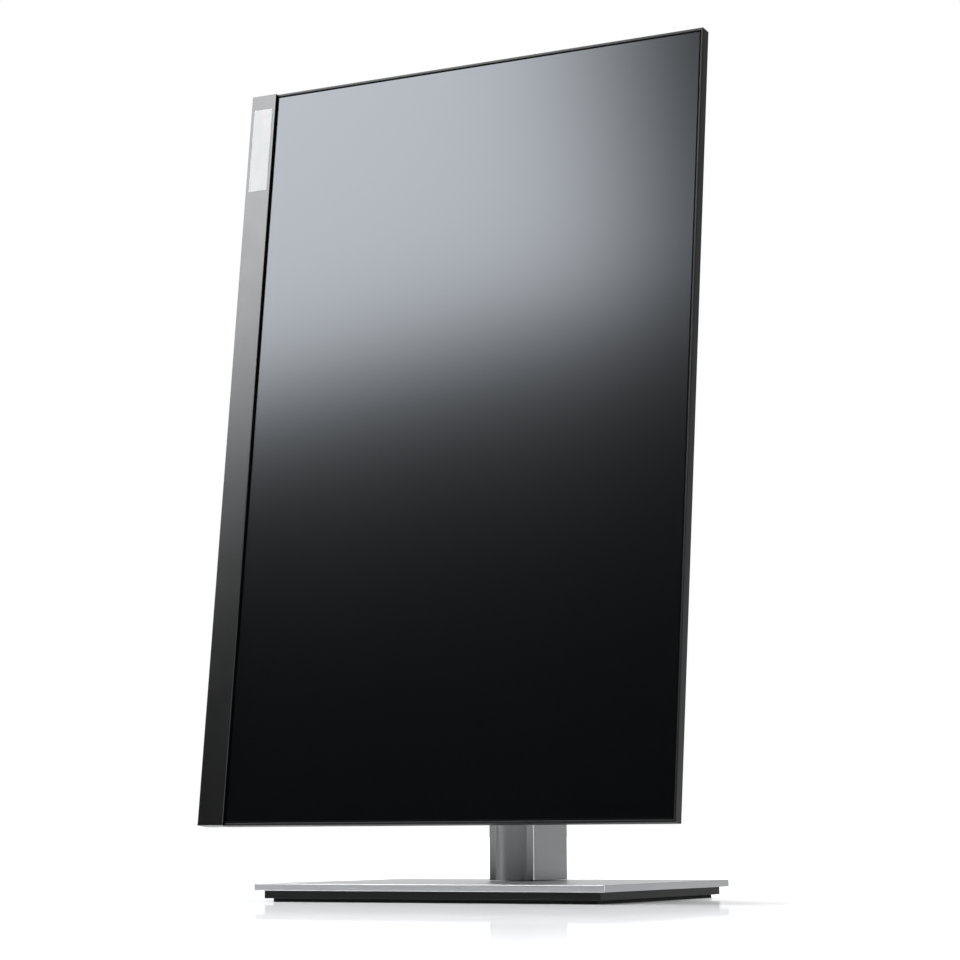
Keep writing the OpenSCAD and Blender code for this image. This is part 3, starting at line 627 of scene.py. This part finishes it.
def add_softbox(name, target, azimuth, elevation, distance, size, fade, strength, roll=0):
    """An emitting panel whose light eases off towards its edges; the camera doesn't see it.

    It faces the target from that direction and distance. Fade is the share of its half width and
    half height over which the light eases off.
    """
    mat, tree = fresh_tree(name)
    split = tree.nodes.new("ShaderNodeSeparateXYZ")
    tree.links.new(tree.nodes.new("ShaderNodeTexCoord").outputs["Object"], split.inputs["Vector"])
    fades = []
    for axis, width, share in zip("XY", size, fade):
        off = math_node(tree, "ABSOLUTE", split.outputs[axis])
        fades.append(mapped(tree, off, width / 2, width / 2 * (1 - share), 0, 1))
    emit = tree.nodes.new("ShaderNodeEmission")
    emit.inputs["Color"].default_value = (0.965, 0.985, 1.0, 1)
    evenness = math_node(tree, "MULTIPLY", *fades)
    tree.links.new(math_node(tree, "MULTIPLY", evenness, strength), emit.inputs["Strength"])
    close_tree(tree, emit.outputs[0])
    box = add_stage_sheet(name, *size, mat)
    centre = Vector(target) + direction(azimuth, elevation) * distance
    facing = (Vector(target) - centre).to_track_quat("Z", "Y").to_matrix().to_4x4()
    rolled = Matrix.Rotation(math.radians(roll), 4, "Z")
    box.matrix_world = Matrix.Translation(centre) @ facing @ rolled
    box.visible_camera = False


def background(tree, strength):
    """A white background; the strength is a socket or a number."""
    node = tree.nodes.new("ShaderNodeBackground")
    node.inputs["Color"].default_value = (1, 1, 1, 1)
    if hasattr(strength, "is_linked"):
        tree.links.new(strength, node.inputs["Strength"])
    else:
        node.inputs["Strength"].default_value = strength
    return node.outputs[0]


def add_world():
    """White to the eye; to reflections, bright behind and above the object and dark in front."""
    world = bpy.data.worlds.new("studio")
    scene.world = world
    world.use_nodes = True
    tree = world.node_tree
    tree.nodes.clear()
    way = tree.nodes.new("ShaderNodeTexCoord").outputs["Generated"]
    split = tree.nodes.new("ShaderNodeSeparateXYZ")
    tree.links.new(way, split.inputs["Vector"])
    height = split.outputs["Z"]
    behind = along(tree, way, 152)
    wall = math_node(tree, "ADD", mapped(tree, behind, -0.25, 0.35, 0.02, 0.26),
                     mapped(tree, behind, 0.60, 0.96, 0.0, 0.39))
    horizon = math_node(tree, "MULTIPLY", wall, mapped(tree, height, 0.05, 0.15, 1.6, 1.0))
    total = math_node(tree, "ADD", horizon, mapped(tree, height, 0.55, 0.95, 0.0, 1.2))
    sky = mixed(tree, is_seen(tree), background(tree, total), background(tree, 1.0))
    close_tree(tree, sky, "ShaderNodeOutputWorld")


def build_studio():
    """Floor, background and three softboxes: one for the screen's reflection, two for the metal."""
    scene.view_settings.view_transform = "Standard"
    add_floor()
    add_world()
    add_softbox("key_softbox", target=(0, -0.07, 0.31), azimuth=43.3, elevation=37.1, distance=2.75,
                size=(1.53, 1.78), fade=(0.50, 0.18), strength=11.2, roll=-26.5)
    add_softbox("top_softbox", target=(0, 0, 0), azimuth=95, elevation=70, distance=3.2,
                size=(3.0, 3.0), fade=(0.6, 0.6), strength=4.5)
    add_softbox("right_softbox", target=(0, 0, 0.1), azimuth=-66, elevation=6, distance=2.6,
                size=(2.2, 1.6), fade=(0.6, 0.6), strength=6)


add_camera()
dress_cad_nodes()
add_contacts()
add_spring_strip()
build_studio()
